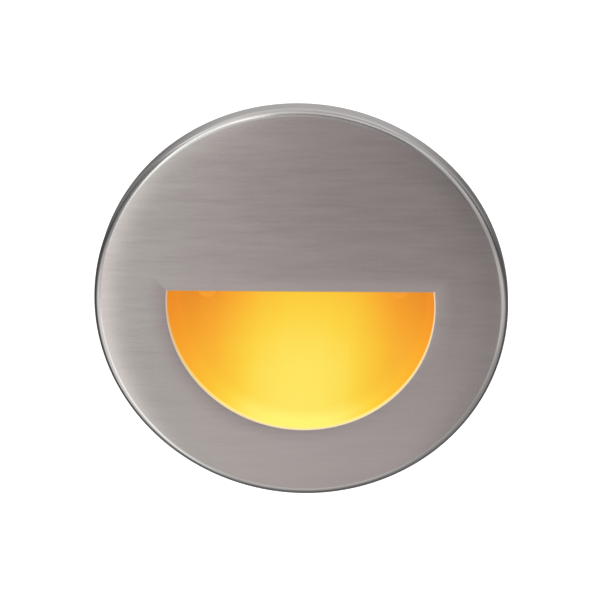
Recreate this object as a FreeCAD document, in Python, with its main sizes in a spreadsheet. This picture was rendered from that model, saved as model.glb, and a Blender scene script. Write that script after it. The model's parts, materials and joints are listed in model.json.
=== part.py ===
import FreeCAD, Part
import math
import os

import Sketcher

# Round recessed step light. X is to the right, Z up and +Y into the wall.
# The wall's surface is y = 0 and the face plate stands ahead of it, towards -Y.

Vector = FreeCAD.Vector

# Sizes that are set by hand, in millimetres and degrees: name, value, meaning.
DRIVING = (
    ("plate_radius", 63.5, "outer radius of the face plate"),
    ("plate_web", 2.4, "front wall of the face plate"),
    ("plate_skirt", 2.0, "side wall of the face plate"),
    ("plate_wall_gap", 0.3, "gap between the plate's rear edge and the wall"),
    ("plate_round", 1.0, "radius of the plate's front edge"),
    ("opening_chord", 5.7, "height of the opening's straight edge over the centre"),
    ("opening_round", 0.25, "softened front edge of the opening"),
    ("key_width", 4.0, "rib inside the plate that keeps it upright"),
    ("key_height", 1.6, "how far the rib stands in from the side wall"),
    ("key_clearance", 0.3, "room round the rib in its notch"),
    ("pry_width", 10.0, "notch at the foot of the plate for a screwdriver"),
    ("pry_depth", 1.2, "depth of that notch in the side wall"),
    ("pry_height", 1.1, "height of that notch off the plate's rear edge"),
    ("rim_clearance", 0.7, "room between the flange and the plate's side wall"),
    ("flange_thickness", 3.0, "mounting flange"),
    ("notch_depth", 2.0, "depth of a spring notch in the flange's rim"),
    ("notch_land", 1.2, "metal between a spring notch and the gasket groove"),
    ("notch_width", 20.0, "length of a spring notch along the rim"),
    ("notch_floor", 0.8, "metal behind a spring notch"),
    ("groove_width", 2.8, "gasket groove in the flange's rear face"),
    ("groove_depth", 1.2, "depth of the gasket groove"),
    ("groove_land", 2.8, "from the wall screws' circle to the gasket groove"),
    ("gasket_clearance", 0.1, "room beside a gasket in its groove"),
    ("wall_hole_radius", 2.25, "wall screw holes"),
    ("screw_land", 5.0, "from the can's outside to the wall screws' circle"),
    ("can_wall", 2.5, "side wall of the can"),
    ("can_depth", 36.0, "rear edge of the can behind the wall's surface"),
    ("scoop_clearance", 0.9, "room between the scoop and the can"),
    ("scoop_wall", 1.6, "wall of the scoop"),
    ("scoop_lip", 1.2, "lip of the scoop on the flange"),
    ("lip_overlap", 1.6, "how far the lip lies on the flange"),
    ("lip_clearance", 0.2, "room between the lip and the plate"),
    ("mouth_gap", 0.8, "how far the scoop's mouth stands back round the opening"),
    ("floor_depth", 5.9, "depth of the scoop at its foot, from its mouth"),
    ("slope_angle", 14.0, "lean of the scoop's back"),
    ("draft_angle", 15.0, "taper of the scoop's round wall"),
    ("ceiling_wall", 2.6, "top wall of the scoop"),
    ("scoop_fillet", 4.0, "inside radius between the scoop's walls"),
    ("scoop_screw_inset", 12.0, "scoop screws in from the scoop's mouth"),
    ("scoop_screw_drop", 0.4, "scoop screws below the centre"),
    ("scoop_boss_radius", 4.0, "bosses for the scoop screws"),
    ("scoop_boss_stand", 0.6, "how far those bosses clear the scoop's back"),
    ("post_room", 4.0, "room between the scoop's posts and the driver board"),
    ("post_floor", 2.0, "closed end of those posts' bores"),
    ("lens_half_window", 26.0, "half of the lens window's length"),
    ("lens_half_depth", 4.0, "half of the lens window's width"),
    ("lens_border", 6.0, "lens beyond its window, at each end"),
    ("lens_side_border", 2.0, "lens beyond its window, at each side"),
    ("lens_thickness", 2.0, "lens"),
    ("lens_fit", 0.2, "room round the lens's step in its window"),
    ("lens_gasket_thickness", 0.6, "gasket under the lens"),
    ("lens_screw_gap", 3.0, "lens screws beyond the ends of the lens window"),
    ("lens_bore_depth", 2.0, "blind bores for the lens screws"),
    ("bore_spare", 0.6, "depth of a blind bore past its screw's point"),
    ("row_depth", 5.5, "emitter row behind the wall's surface"),
    ("emitter_gap", 1.2, "room between the lens and the emitters"),
    ("emitter_height", 1.6, "emitter with its dome"),
    ("emitter_base", 0.8, "emitter's square base"),
    ("emitter_size", 3.5, "side of the emitter's base"),
    ("dome_share", 0.42, "radius of the emitter's dome as a share of that side"),
    ("emitter_pitch", 8.4, "spacing of the emitters"),
    ("emitter_count", 6, "number of emitters"),
    ("board_thickness", 1.6, "circuit boards"),
    ("led_board_half_length", 32.0, "half of the emitter board's length"),
    ("led_board_front", 5.5, "emitter board ahead of the emitter row"),
    ("led_board_rear", 7.5, "emitter board behind the emitter row"),
    ("led_screw_inset", 3.0, "emitter board's screws in from its ends"),
    ("led_screw_back", 4.9, "emitter board's screws behind the emitter row"),
    ("pad_thickness", 0.5, "thermal pad over the emitter board"),
    ("shelf_thickness", 3.0, "cast shelf over the emitter board"),
    ("shelf_depth", 16.5, "cast shelf from front to rear"),
    ("small_screw_radius", 1.0, "shank of the lens and board screws"),
    ("small_head_radius", 1.9, "their heads"),
    ("small_head_height", 1.1, "height of their heads"),
    ("middle_screw_radius", 1.5, "shank of the scoop and cover screws"),
    ("middle_head_radius", 3.0, "their heads"),
    ("middle_head_height", 1.9, "height of their heads"),
    ("recess_share", 0.55, "depth of a driver recess as a share of its head"),
    ("cross_arm_share", 0.55, "reach of a recess's arms as a share of the head's radius"),
    ("cross_slot_share", 0.33, "half the width of those arms as a share of the shank's radius"),
    ("head_crown_share", 0.6, "flat top of a head as a share of its radius"),
    ("head_edge_share", 0.4, "upright edge of a head as a share of its height"),
    ("thread_clearance", 0.05, "room between a screw and its thread"),
    ("hole_clearance", 0.25, "room between a screw and a plain hole"),
    ("rear_gasket_thickness", 0.8, "gasket between the can and its cover"),
    ("rear_gasket_margin", 0.5, "that gasket beyond the bosses that it seals"),
    ("cover_thickness", 3.0, "rear cover"),
    ("cover_inset", 1.0, "cover's edge in from the can's outside"),
    ("cover_edge", 0.5, "chamfer round the cover's rear edge"),
    ("cover_boss_radius", 4.0, "bosses for the cover screws"),
    ("cover_boss_inset", 3.5, "those bosses' centres in from the can's bore"),
    ("cover_boss_length", 12.0, "length of those bosses"),
    ("cover_boss_floor", 1.0, "closed end of those bosses' bores"),
    ("cover_screw_length", 12.0, "cover screws under their heads"),
    ("fin_height", 6.0, "cooling fins behind the cover"),
    ("fin_thickness", 2.0, "each fin"),
    ("fin_pitch", 9.0, "spacing of the fins"),
    ("fin_count", 5, "number of fins"),
    ("fin_foot", -4.0, "height of the fins' lower ends"),
    ("fin_inset", 5.0, "fins' upper ends in from the cover's edge"),
    ("stand_length", 4.8, "posts that carry the driver board"),
    ("stand_radius", 3.0, "radius of those posts"),
    ("stand_inset", 4.4, "upper posts in from the driver board's edge"),
    ("stand_angle", 35.0, "direction of the upper posts over the level"),
    ("stand_rise", 5.0, "lower posts over the driver board's straight edge"),
    ("driver_clearance", 1.0, "room between the driver board and the cover's bosses"),
    ("driver_gland_gap", 3.0, "room between the driver board and the gland's locknut"),
    ("gland_inset", 19.5, "cable gland's centre in from the can's bore"),
    ("gland_thread", 6.0, "radius of the gland's thread"),
    ("gland_bore", 4.0, "radius of the way through the gland"),
    ("gland_hex", 8.0, "half the width of the gland's hexagons over their flats"),
    ("gland_flange", 3.0, "thickness of the gland's hexagon"),
    ("gland_mouth", 8.0, "length of the gland's outer thread"),
    ("gland_locknut_length", 2.6, "nut inside the cover"),
    ("gland_stem", 4.0, "gland's thread inside the cover"),
    ("gland_fit", 0.08, "room between the gland's threads"),
    ("seal_wall", 1.9, "wall of the gland's seal"),
    ("seal_length", 4.6, "length of the seal"),
    ("seal_bore", 3.1, "radius of the seal's bore"),
    ("nut_reach", 11.0, "length of the gland's dome nut"),
    ("nut_end", 2.4, "end wall of the dome nut"),
    ("nut_gap", 0.4, "room between the dome nut and the gland's hexagon"),
    ("spring_thickness", 0.4, "leaf springs"),
    ("spring_width", 1.8, "width of the leaf springs"),
    ("spring_clearance", 0.1, "room between a leaf spring and the plate"),
    ("spring_end_gap", 0.6, "room at each end of a leaf spring"),
    ("lead_radius", 0.6, "leads between the boards"),
    ("lead_pitch", 2.5, "spacing of the leads"),
    ("lead_run_share", 0.34, "straight start and end of a lead as a share of its way"),
    ("connector_across", 8.5, "connectors from the middle"),
    ("connector_width", 7.0, "connectors"),
    ("connector_inset", 0.5, "emitter board's connector in from the board's rear edge"),
    ("socket_depth", 1.0, "depth of a lead's socket"),
    ("led_connector_height", 2.4, "connector on the emitter board"),
    ("led_connector_length", 4.0, "its length from front to rear"),
    ("lead_connector_depth", 6.0, "connector on the driver board"),
    ("lead_connector_height", 4.0, "its height"),
    ("lead_connector_drop", 4.2, "how far the leads come down between the boards"),
    ("rectifier_inset", 6.0, "bridge rectifier's centre in from the left posts"),
    ("rectifier_rise", 17.0, "its height over the driver board's straight edge"),
    ("rectifier_width", 8.0, "bridge rectifier"),
    ("rectifier_height", 7.0, "its height"),
    ("rectifier_depth", 3.2, "its depth"),
    ("rectifier_edge", 0.5, "chamfer of its front edges"),
    ("inductor_inset", 14.0, "power inductor's centre in from the right posts"),
    ("inductor_rise", 9.0, "its height over the driver board's straight edge"),
    ("inductor_side", 10.0, "power inductor"),
    ("inductor_depth", 5.5, "its depth"),
    ("inductor_edge", 1.0, "chamfer of its front edges"),
    ("chip_inset", 4.0, "driver chip's centre in from the right posts"),
    ("chip_rise", 17.0, "its height over the driver board's straight edge"),
    ("chip_width", 6.0, "driver chip"),
    ("chip_height", 5.0, "its height"),
    ("chip_depth", 1.8, "its depth"),
    ("chip_edge", 0.3, "chamfer of its front edges"),
    ("capacitor_inset", 8.0, "filter capacitor's end in from the left posts"),
    ("capacitor_rise", 26.0, "its height over the driver board's straight edge"),
    ("capacitor_radius", 5.0, "filter capacitor"),
    ("capacitor_length", 14.0, "its length"),
    ("capacitor_rim", 0.5, "chamfered rims and depth of the crimp"),
    ("crimp_place", 1.8, "crimp from the capacitor's end"),
    ("crimp_width", 1.0, "width of the crimp"),
    ("terminal_across", 8.0, "supply terminal's centre to the left of the middle"),
    ("terminal_margin", 1.0, "terminal over the driver board's straight edge"),
    ("terminal_width", 12.0, "supply terminal"),
    ("terminal_height", 10.0, "its height"),
    ("terminal_depth", 9.0, "its depth"),
    ("terminal_pitch", 6.0, "spacing of its two ways"),
    ("entry_radius", 1.6, "wire entries under the terminal"),
    ("entry_depth", 6.0, "their depth"),
    ("entry_stand", 3.5, "wire entries ahead of the driver board"),
    ("well_radius", 1.9, "wells over the terminal's clamp screws"),
    ("well_depth", 1.5, "their depth"),
    ("fuse_depth", 0.5, "how far the features of one piece run into each other"),
    ("overrun", 1.0, "how far a cut runs past the face it opens"),
)

# Sizes that follow from those: name, formula, meaning.
DERIVED = (
    ("skirt_inner", "plate_radius - plate_skirt", "inside radius of the plate"),
    ("flange_radius", "skirt_inner - rim_clearance", "outside of the flange"),
    ("notch_flat", "flange_radius - notch_depth", "flat floor of a spring notch"),
    ("groove_outer", "notch_flat - notch_land", "outside of the gasket groove"),
    ("groove_inner", "groove_outer - groove_width", "inside of the gasket groove"),
    ("hole_circle", "groove_inner - groove_land", "radius of the wall screws' circle"),
    ("can_radius", "hole_circle - screw_land", "outside of the can"),
    ("can_bore", "can_radius - can_wall", "inside of the can"),
    ("can_middle", "can_radius - can_wall / 2", "middle of the can's wall"),
    ("mouth_radius", "can_bore - scoop_clearance - scoop_wall", "scoop's mouth"),
    ("opening_radius", "mouth_radius - mouth_gap", "radius of the opening"),
    ("scoop_screw_across", "mouth_radius - scoop_screw_inset", "scoop screws from the middle"),
    ("mouth_chord", "opening_chord + mouth_gap", "scoop's ceiling"),
    ("lip_radius", "can_bore + lip_overlap", "outside of the scoop's lip"),
    ("boss_reach", "can_bore - cover_boss_inset - cover_boss_radius", "inside of the bosses"),
    ("mouth_face", "-flange_thickness - scoop_lip", "front of the scoop's lip"),
    ("web_back", "mouth_face - lip_clearance", "rear of the plate's front wall"),
    ("plate_front", "web_back - plate_web", "front of the plate"),
    ("key_length", "-web_back - groove_depth - key_clearance", "length of the key rib"),
    ("slope_foot", "mouth_face + floor_depth", "scoop's back at its foot"),
    ("slope_rise", "tan(slope_angle)", "depth gained per height"),
    ("back_wall", "scoop_wall / cos(slope_angle)", "scoop's back wall along the depth"),
    ("slope_top", "slope_foot + (mouth_radius + mouth_chord) * slope_rise", "deepest place"),
    (
        "boss_face",
        "slope_foot + (mouth_radius - scoop_screw_drop + scoop_boss_radius) * slope_rise"
        " + back_wall + scoop_boss_stand",
        "rear of the scoop's bosses",
    ),
    (
        "seat_face",
        "slope_foot + (mouth_radius - scoop_screw_drop - scoop_boss_radius) * slope_rise"
        " - scoop_boss_stand",
        "seat of the scoop screws' heads",
    ),
    ("ceiling_top", "mouth_chord + ceiling_wall", "top of the scoop's ceiling"),
    ("lens_screw_across", "lens_half_window + lens_screw_gap", "lens screws from the middle"),
    ("lens_low", "ceiling_top + lens_gasket_thickness", "underside of the lens's border"),
    ("lens_top", "lens_low + lens_thickness", "top of the lens"),
    ("emitter_low", "lens_top + emitter_gap", "lowest point of the emitters"),
    ("led_board_low", "emitter_low + emitter_height", "underside of the emitter board"),
    ("pad_low", "led_board_low + board_thickness", "underside of the thermal pad"),
    ("shelf_low", "pad_low + pad_thickness", "underside of the shelf"),
    ("shelf_top", "shelf_low + shelf_thickness", "top of the shelf"),
    ("board_front", "row_depth - led_board_front", "front edge of the emitter board"),
    ("board_rear", "row_depth + led_board_rear", "rear edge of the emitter board"),
    ("connector_face", "board_rear - connector_inset", "rear of the emitter board's connector"),
    (
        "led_screw_across",
        "led_board_half_length - led_screw_inset",
        "emitter board's screws from the middle",
    ),
    ("cover_front", "can_depth + rear_gasket_thickness", "front of the rear cover"),
    ("cover_back", "cover_front + cover_thickness", "rear of the rear cover"),
    ("cover_radius", "can_radius - cover_inset", "outside of the rear cover and its gasket"),
    ("rear_gasket_inner", "boss_reach - rear_gasket_margin", "inside of the rear gasket"),
    ("driver_back", "cover_front - stand_length", "rear of the driver board"),
    ("driver_front", "driver_back - board_thickness", "front of the driver board"),
    ("driver_radius", "boss_reach - driver_clearance", "driver board"),
    ("post_length", "driver_front - post_room - boss_face", "posts for the scoop screws"),
    ("post_bore_depth", "post_length - post_floor", "threaded depth in those posts"),
    ("gland_drop", "can_bore - gland_inset", "cable gland below the centre"),
    (
        "driver_flat",
        "-gland_drop + gland_hex + driver_gland_gap",
        "height of the driver board's straight lower edge",
    ),
    ("stand_circle", "driver_radius - stand_inset", "upper posts from the centre"),
    ("stand_across", "stand_circle * cos(stand_angle)", "posts from the middle, each way"),
    ("stand_high", "stand_circle * sin(stand_angle)", "height of the upper posts"),
    ("stand_low", "driver_flat + stand_rise", "height of the lower posts"),
    ("cover_circle", "(can_bore - cover_boss_inset) / sqrt(2)", "cover screws each way"),
    ("hole_offset", "hole_circle / sqrt(2)", "wall screws each way"),
    ("hex_corner", "gland_hex / cos(30)", "corner radius of the gland's hexagons"),
    ("gland_face", "cover_back + gland_flange", "rear of the gland's hexagon"),
    ("gland_end", "gland_face + gland_mouth", "rear of the gland's body"),
    ("seal_radius", "seal_bore + seal_wall", "outside of the seal"),
    ("nut_start", "gland_face + nut_gap", "front of the dome nut"),
    ("nut_finish", "nut_start + nut_reach", "rear of the dome nut"),
    ("connector_left", "connector_across - connector_width / 2", "left of the connectors"),
    ("lead_height", "led_board_low - led_connector_height / 2", "leads at the emitter board"),
    ("lead_foot", "lead_height - lead_connector_drop", "leads at the driver board"),
    ("lead_face", "driver_front - lead_connector_depth", "front of the driver board's connector"),
    ("capacitor_left", "-stand_across + capacitor_inset", "left end of the capacitor"),
    ("capacitor_up", "driver_flat + capacitor_rise", "height of the capacitor's middle"),
    ("capacitor_axis", "driver_front - capacitor_radius", "depth of the capacitor's middle"),
    ("terminal_low", "driver_flat + terminal_margin", "underside of the supply terminal"),
    ("terminal_front", "driver_front - terminal_depth", "front of the supply terminal"),
)

NEAR = 0.01
EDGE_SAMPLES = 5
BEND_SHARE = 0.45

doc = FreeCAD.newDocument("step_light")
sizes = doc.addObject("Spreadsheet::Sheet", "sizes")


def fill_sheet():
    """Writes the sizes and their meanings, one row each."""
    for row, (alias, value, meaning) in enumerate(DRIVING + DERIVED, start=1):
        text = f"={value}" if isinstance(value, str) else str(value)
        sizes.set(f"A{row}", alias)
        sizes.set(f"B{row}", text)
        sizes.set(f"C{row}", meaning)
        sizes.setAlias(f"B{row}", alias)
    doc.recompute()


fill_sheet()
ALIASES = sorted((row[0] for row in DRIVING + DERIVED), key=len, reverse=True)


def cell(text):
    """An expression for the model, from one that uses the sheet's names alone."""
    words = []
    word = ""
    for letter in str(text) + " ":
        if letter.isalnum() or letter == "_":
            word += letter
            continue
        words.append(f"sizes.{word}" if word in ALIASES else word)
        words.append(letter)
        word = ""
    return "".join(words).strip()


def number(text):
    """The value that such an expression has now."""
    return float(sizes.evalExpression(cell(text)))


def bind(item, **settings):
    """Ties properties of an object to the sheet."""
    for name, text in settings.items():
        item.setExpression(name, cell(text))


# ---- drawing ----


def new_body(label):
    body = doc.addObject("PartDesign::Body", label)
    body.Label = label
    return body


def origin_part(body, role):
    """One of the body's own origin planes or axes."""
    return next(part for part in body.Origin.OriginFeatures if part.Role == role)


def sketch(body, plane, name, offset="0", across="0", up="0"):
    """A sketch on an origin plane of the body, moved along the plane's normal and in it."""
    item = body.newObject("Sketcher::SketchObject", name)
    item.AttachmentSupport = (origin_part(body, plane), [""])
    item.MapMode = "FlatFace"
    item.setExpression("AttachmentOffset.Base.x", cell(across))
    item.setExpression("AttachmentOffset.Base.y", cell(up))
    item.setExpression("AttachmentOffset.Base.z", cell(offset))
    return item


def facing(body, name, depth="0", across="0", up="0"):
    """A sketch seen from the front: X and Z, at a depth behind the wall's surface."""
    return sketch(body, "XZ_Plane", name, f"-({depth})", across, up)


def measure(item, kind, values, text):
    """Adds one dimension to a sketch and ties it to the sheet."""
    row = item.addConstraint(Sketcher.Constraint(kind, *values, number(text)))
    item.setExpression(f"Constraints[{row}]", cell(text))


def fix_point(item, geometry, point, across, up):
    """Ties a point of a sketch to its place from the sketch's origin."""
    measure(item, "DistanceX", (-1, 1, geometry, point), across)
    measure(item, "DistanceY", (-1, 1, geometry, point), up)


def circle(item, across, up, radius):
    centre = Vector(number(across), number(up), 0)
    shape = Part.Circle(centre, Vector(0, 0, 1), number(radius))
    geometry = item.addGeometry(shape, False)
    fix_point(item, geometry, 3, across, up)
    measure(item, "Radius", (geometry,), radius)


def arc_between(start, middle, end):
    """An arc through three points, and whether it runs from its start to its end."""
    whole = Part.Circle(start, middle, end)
    centre = whole.Center
    angles = [math.atan2(point.y - centre.y, point.x - centre.x) for point in (start, middle, end)]
    turn = 2 * math.pi
    to_middle = (angles[1] - angles[0]) % turn
    to_end = (angles[2] - angles[0]) % turn
    forward = to_middle < to_end
    first, last = (angles[0], angles[2]) if forward else (angles[2], angles[0])
    if last < first:
        last += turn
    round_line = Part.Circle(centre, Vector(0, 0, 1), whole.Radius)
    return Part.ArcOfCircle(round_line, first, last), forward


def outline(item, corners):
    """A closed outline through corners (across, up).

    A corner that also has (across, up) of a middle point and a radius starts an arc.
    An upright half circle has no radius there, because its ends already give it.
    """
    points = [Vector(number(corner[0]), number(corner[1]), 0) for corner in corners]
    ends = []
    for index, corner in enumerate(corners):
        start, end = points[index], points[(index + 1) % len(points)]
        if len(corner) == 2:
            geometry = item.addGeometry(Part.LineSegment(start, end), False)
            ends.append((geometry, 1, 2))
            continue
        middle = Vector(number(corner[2][0]), number(corner[2][1]), 0)
        arc, forward = arc_between(start, middle, end)
        geometry = item.addGeometry(arc, False)
        ends.append((geometry, 1, 2) if forward else (geometry, 2, 1))
    for index, (geometry, _, last) in enumerate(ends):
        following, next_first, _ = ends[(index + 1) % len(ends)]
        item.addConstraint(
            Sketcher.Constraint("Coincident", geometry, last, following, next_first)
        )
    for (geometry, first, _), corner in zip(ends, corners):
        fix_point(item, geometry, first, corner[0], corner[1])
        if len(corner) == 4:
            measure(item, "Radius", (geometry,), corner[3])
        elif len(corner) == 3:
            measure(item, "DistanceX", (-1, 1, geometry, 3), corner[0])


def rectangle(item, left, low, right, high):
    outline(item, [(left, low), (right, low), (right, high), (left, high)])


def hexagon(item, up, flat, corner):
    """A hexagon with a corner to each side, round a point above the origin."""
    outline(
        item,
        [
            (f"{corner}", f"{up}"),
            (f"{corner} / 2", f"{up} + {flat}"),
            (f"-{corner} / 2", f"{up} + {flat}"),
            (f"-{corner}", f"{up}"),
            (f"-{corner} / 2", f"{up} - {flat}"),
            (f"{corner} / 2", f"{up} - {flat}"),
        ],
    )


def half_round(item, chord, radius):
    """The D shape: a straight edge at a height, and the circle's part below it."""
    half = f"sqrt({radius}^2 - {chord}^2)"
    foot = ("0", f"-({radius})")
    outline(item, [(half, chord), (f"-{half}", chord, foot, radius)])


# ---- features ----


def extrude(kind, body, profile, length, reverse, both_sides, name):
    item = body.newObject(f"PartDesign::{kind}", name)
    item.Profile = profile
    item.Reversed = reverse
    item.Midplane = both_sides
    bind(item, Length=length)
    return item


def pad(body, profile, length, name, reverse=False, both_sides=False):
    """Adds material. On a front-facing sketch it grows to the front, reversed to the rear."""
    return extrude("Pad", body, profile, length, reverse, both_sides, name)


def pocket(body, profile, length, name, reverse=False, both_sides=False):
    """Takes material away. On a front-facing sketch it cuts to the rear."""
    return extrude("Pocket", body, profile, length, reverse, both_sides, name)


def revolve(body, profile, name, kind="Revolution"):
    """Turns a profile about its sketch's upright axis."""
    item = body.newObject(f"PartDesign::{kind}", name)
    item.Profile = profile
    item.ReferenceAxis = (profile, ["V_Axis"])
    item.Angle = 360
    return item


def turned(body, name, corners):
    """A turned shape about the Y axis, from corners (radius, depth)."""
    profile = sketch(body, "XY_Plane", f"{name}_profile")
    outline(profile, corners)
    return revolve(body, profile, name)


def around(body, originals, count, name):
    """Repeats features evenly about the Y axis."""
    item = body.newObject("PartDesign::PolarPattern", name)
    item.Originals = originals
    item.Axis = (origin_part(body, "Y_Axis"), [""])
    item.Angle = 360
    item.Occurrences = count
    body.Tip = item
    return item


def edges_where(feature, test):
    """Names of the feature's edges whose points all pass a test."""
    doc.recompute()
    names = []
    for index, edge in enumerate(feature.Shape.Edges, start=1):
        if all(test(point) for point in edge.discretize(EDGE_SAMPLES)):
            names.append(f"Edge{index}")
    if not names:
        raise ValueError(f"{feature.Name} has no such edge")
    return names


def fillet(body, feature, test, radius, name):
    item = body.newObject("PartDesign::Fillet", name)
    item.Base = (feature, edges_where(feature, test))
    bind(item, Radius=radius)
    return item


def chamfer(body, feature, test, size, name):
    item = body.newObject("PartDesign::Chamfer", name)
    item.Base = (feature, edges_where(feature, test))
    bind(item, Size=size)
    return item


def near(value, wanted):
    return abs(value - wanted) < NEAR


# ---- face plate ----


def make_face_plate():
    body = new_body("face_plate")
    bend = "plate_round * (1 - sqrt(0.5))"
    turned(
        body,
        "plate_dish",
        [
            ("0", "plate_front"),
            (
                "plate_radius - plate_round",
                "plate_front",
                (f"plate_radius - {bend}", f"plate_front + {bend}"),
                "plate_round",
            ),
            ("plate_radius", "plate_front + plate_round"),
            ("plate_radius", "-plate_wall_gap"),
            ("skirt_inner", "-plate_wall_gap"),
            ("skirt_inner", "web_back"),
            ("0", "web_back"),
        ],
    )
    profile = facing(body, "opening_profile", "plate_front - overrun")
    half_round(profile, "opening_chord", "opening_radius")
    opening = pocket(body, profile, "plate_web + 2 * overrun", "opening")
    front = number("plate_front")
    reach = number("mouth_radius")
    fillet(
        body,
        opening,
        lambda point: near(point.y, front) and math.hypot(point.x, point.z) < reach,
        "opening_round",
        "opening_edge",
    )
    profile = facing(body, "key_profile", "web_back")
    rectangle(
        profile,
        "-key_width / 2",
        "-skirt_inner - plate_skirt / 2",
        "key_width / 2",
        "-skirt_inner + key_height",
    )
    pad(body, profile, "key_length", "key_rib", reverse=True)
    profile = facing(body, "pry_profile", "-plate_wall_gap - pry_height")
    rectangle(
        profile,
        "-pry_width / 2",
        "-plate_radius - overrun",
        "pry_width / 2",
        "-plate_radius + pry_depth",
    )
    pocket(body, profile, "pry_height + overrun", "pry_notch")
    return body


# ---- housing ----


def lug(item, side, across, up, radius):
    """A rounded lug from the can's wall to a screw, seen from the front."""
    high = f"({up} + {radius})"
    low = f"({up} - {radius})"
    sign = "-" if side < 0 else ""
    outline(
        item,
        [
            (f"{sign}{across}", high, (f"{sign}({across} - {radius})", up)),
            (f"{sign}{across}", low),
            (
                f"{sign}sqrt(can_middle^2 - {low}^2)",
                low,
                (f"{sign}sqrt(can_middle^2 - ({up})^2)", up),
                "can_middle",
            ),
            (f"{sign}sqrt(can_middle^2 - {high}^2)", high),
        ],
    )


def make_housing():
    body = new_body("housing")
    turned(
        body,
        "can_and_flange",
        [
            ("can_bore", "-flange_thickness"),
            ("flange_radius", "-flange_thickness"),
            ("flange_radius", "0"),
            ("groove_outer", "0"),
            ("groove_outer", "-groove_depth"),
            ("groove_inner", "-groove_depth"),
            ("groove_inner", "0"),
            ("can_radius", "0"),
            ("can_radius", "can_depth"),
            ("can_bore", "can_depth"),
        ],
    )

    profile = facing(body, "shelf_profile", "board_front - overrun")
    middle = "(shelf_low + shelf_thickness / 2)"
    outline(
        profile,
        [
            ("-sqrt(can_middle^2 - shelf_low^2)", "shelf_low"),
            (
                "sqrt(can_middle^2 - shelf_low^2)",
                "shelf_low",
                (f"sqrt(can_middle^2 - {middle}^2)", middle),
                "can_middle",
            ),
            ("sqrt(can_middle^2 - shelf_top^2)", "shelf_top"),
            (
                "-sqrt(can_middle^2 - shelf_top^2)",
                "shelf_top",
                (f"-sqrt(can_middle^2 - {middle}^2)", middle),
                "can_middle",
            ),
        ],
    )
    pad(body, profile, "shelf_depth", "shelf", reverse=True)

    profile = facing(body, "lug_profile", "boss_face")
    for side in (-1, 1):
        lug(profile, side, "scoop_screw_across", "-scoop_screw_drop", "scoop_boss_radius")
    pad(body, profile, "post_length", "scoop_lugs", reverse=True)
    profile = facing(body, "lug_bore_profile", "boss_face")
    for side in ("-", ""):
        circle(
            profile,
            f"{side}scoop_screw_across",
            "-scoop_screw_drop",
            "middle_screw_radius + thread_clearance",
        )
    pocket(body, profile, "post_bore_depth", "lug_bores")

    profile = sketch(body, "XY_Plane", "shelf_bore_profile", "shelf_low")
    for side in ("-", ""):
        circle(
            profile,
            f"{side}led_screw_across",
            "row_depth + led_screw_back",
            "small_screw_radius + thread_clearance",
        )
    pocket(body, profile, "shelf_thickness", "shelf_bores", reverse=True)

    profile = facing(body, "boss_profile", "can_depth")
    circle(profile, "cover_circle", "cover_circle", "cover_boss_radius")
    bosses = pad(body, profile, "cover_boss_length", "cover_boss")
    bosses = around(body, [bosses], 4, "cover_bosses")
    profile = facing(body, "boss_bore_profile", "can_depth")
    circle(profile, "cover_circle", "cover_circle", "middle_screw_radius + thread_clearance")
    bore = pocket(
        body, profile, "cover_boss_length - cover_boss_floor", "boss_bore", reverse=True
    )
    around(body, [bore], 4, "boss_bores")

    profile = facing(body, "wall_hole_profile", "-flange_thickness - overrun")
    circle(profile, "hole_offset", "hole_offset", "wall_hole_radius")
    hole = pocket(body, profile, "flange_thickness + 2 * overrun", "wall_hole")
    around(body, [hole], 4, "wall_holes")

    profile = facing(body, "notch_profile", "-flange_thickness - overrun")
    rectangle(
        profile, "-notch_width / 2", "notch_flat", "notch_width / 2", "flange_radius + overrun"
    )
    notch = pocket(
        body, profile, "flange_thickness + overrun - notch_floor", "spring_notch"
    )
    around(body, [notch], 3, "spring_notches")

    profile = facing(body, "key_notch_profile", "-flange_thickness - overrun")
    rectangle(
        profile,
        "-key_width / 2 - key_clearance",
        "-flange_radius - overrun",
        "key_width / 2 + key_clearance",
        "-skirt_inner + key_height + key_clearance",
    )
    pocket(body, profile, "flange_thickness + overrun - notch_floor", "key_notch")
    return body


def flat_ring(label, inner, outer, front, back):
    body = new_body(label)
    turned(body, f"{label}_ring", [(inner, front), (outer, front), (outer, back), (inner, back)])
    return body


def make_wall_gasket():
    return flat_ring(
        "wall_gasket",
        "groove_inner + gasket_clearance",
        "groove_outer - gasket_clearance",
        "-groove_depth",
        "0",
    )


def make_plate_springs():
    """Leaf springs bowed out of the notches, almost against the plate."""
    body = new_body("plate_springs")
    half = "(notch_width / 2 - spring_end_gap)"
    top = "(skirt_inner - spring_clearance)"
    foot = "(notch_flat + spring_thickness)"
    rise = f"({top} - {foot})"
    bow = f"(({half}^2 + {rise}^2) / (2 * {rise}))"
    profile = facing(body, "leaf_profile", "-flange_thickness + spring_clearance")
    outline(
        profile,
        [
            (f"-{half}", foot, ("0", top), bow),
            (half, foot),
            (
                half,
                f"{foot} - spring_thickness",
                ("0", f"{top} - spring_thickness"),
                bow,
            ),
            (f"-{half}", f"{foot} - spring_thickness"),
        ],
    )
    leaf = pad(body, profile, "spring_width", "leaf", reverse=True)
    around(body, [leaf], 3, "leaves")
    return body


# ---- scoop ----


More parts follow.
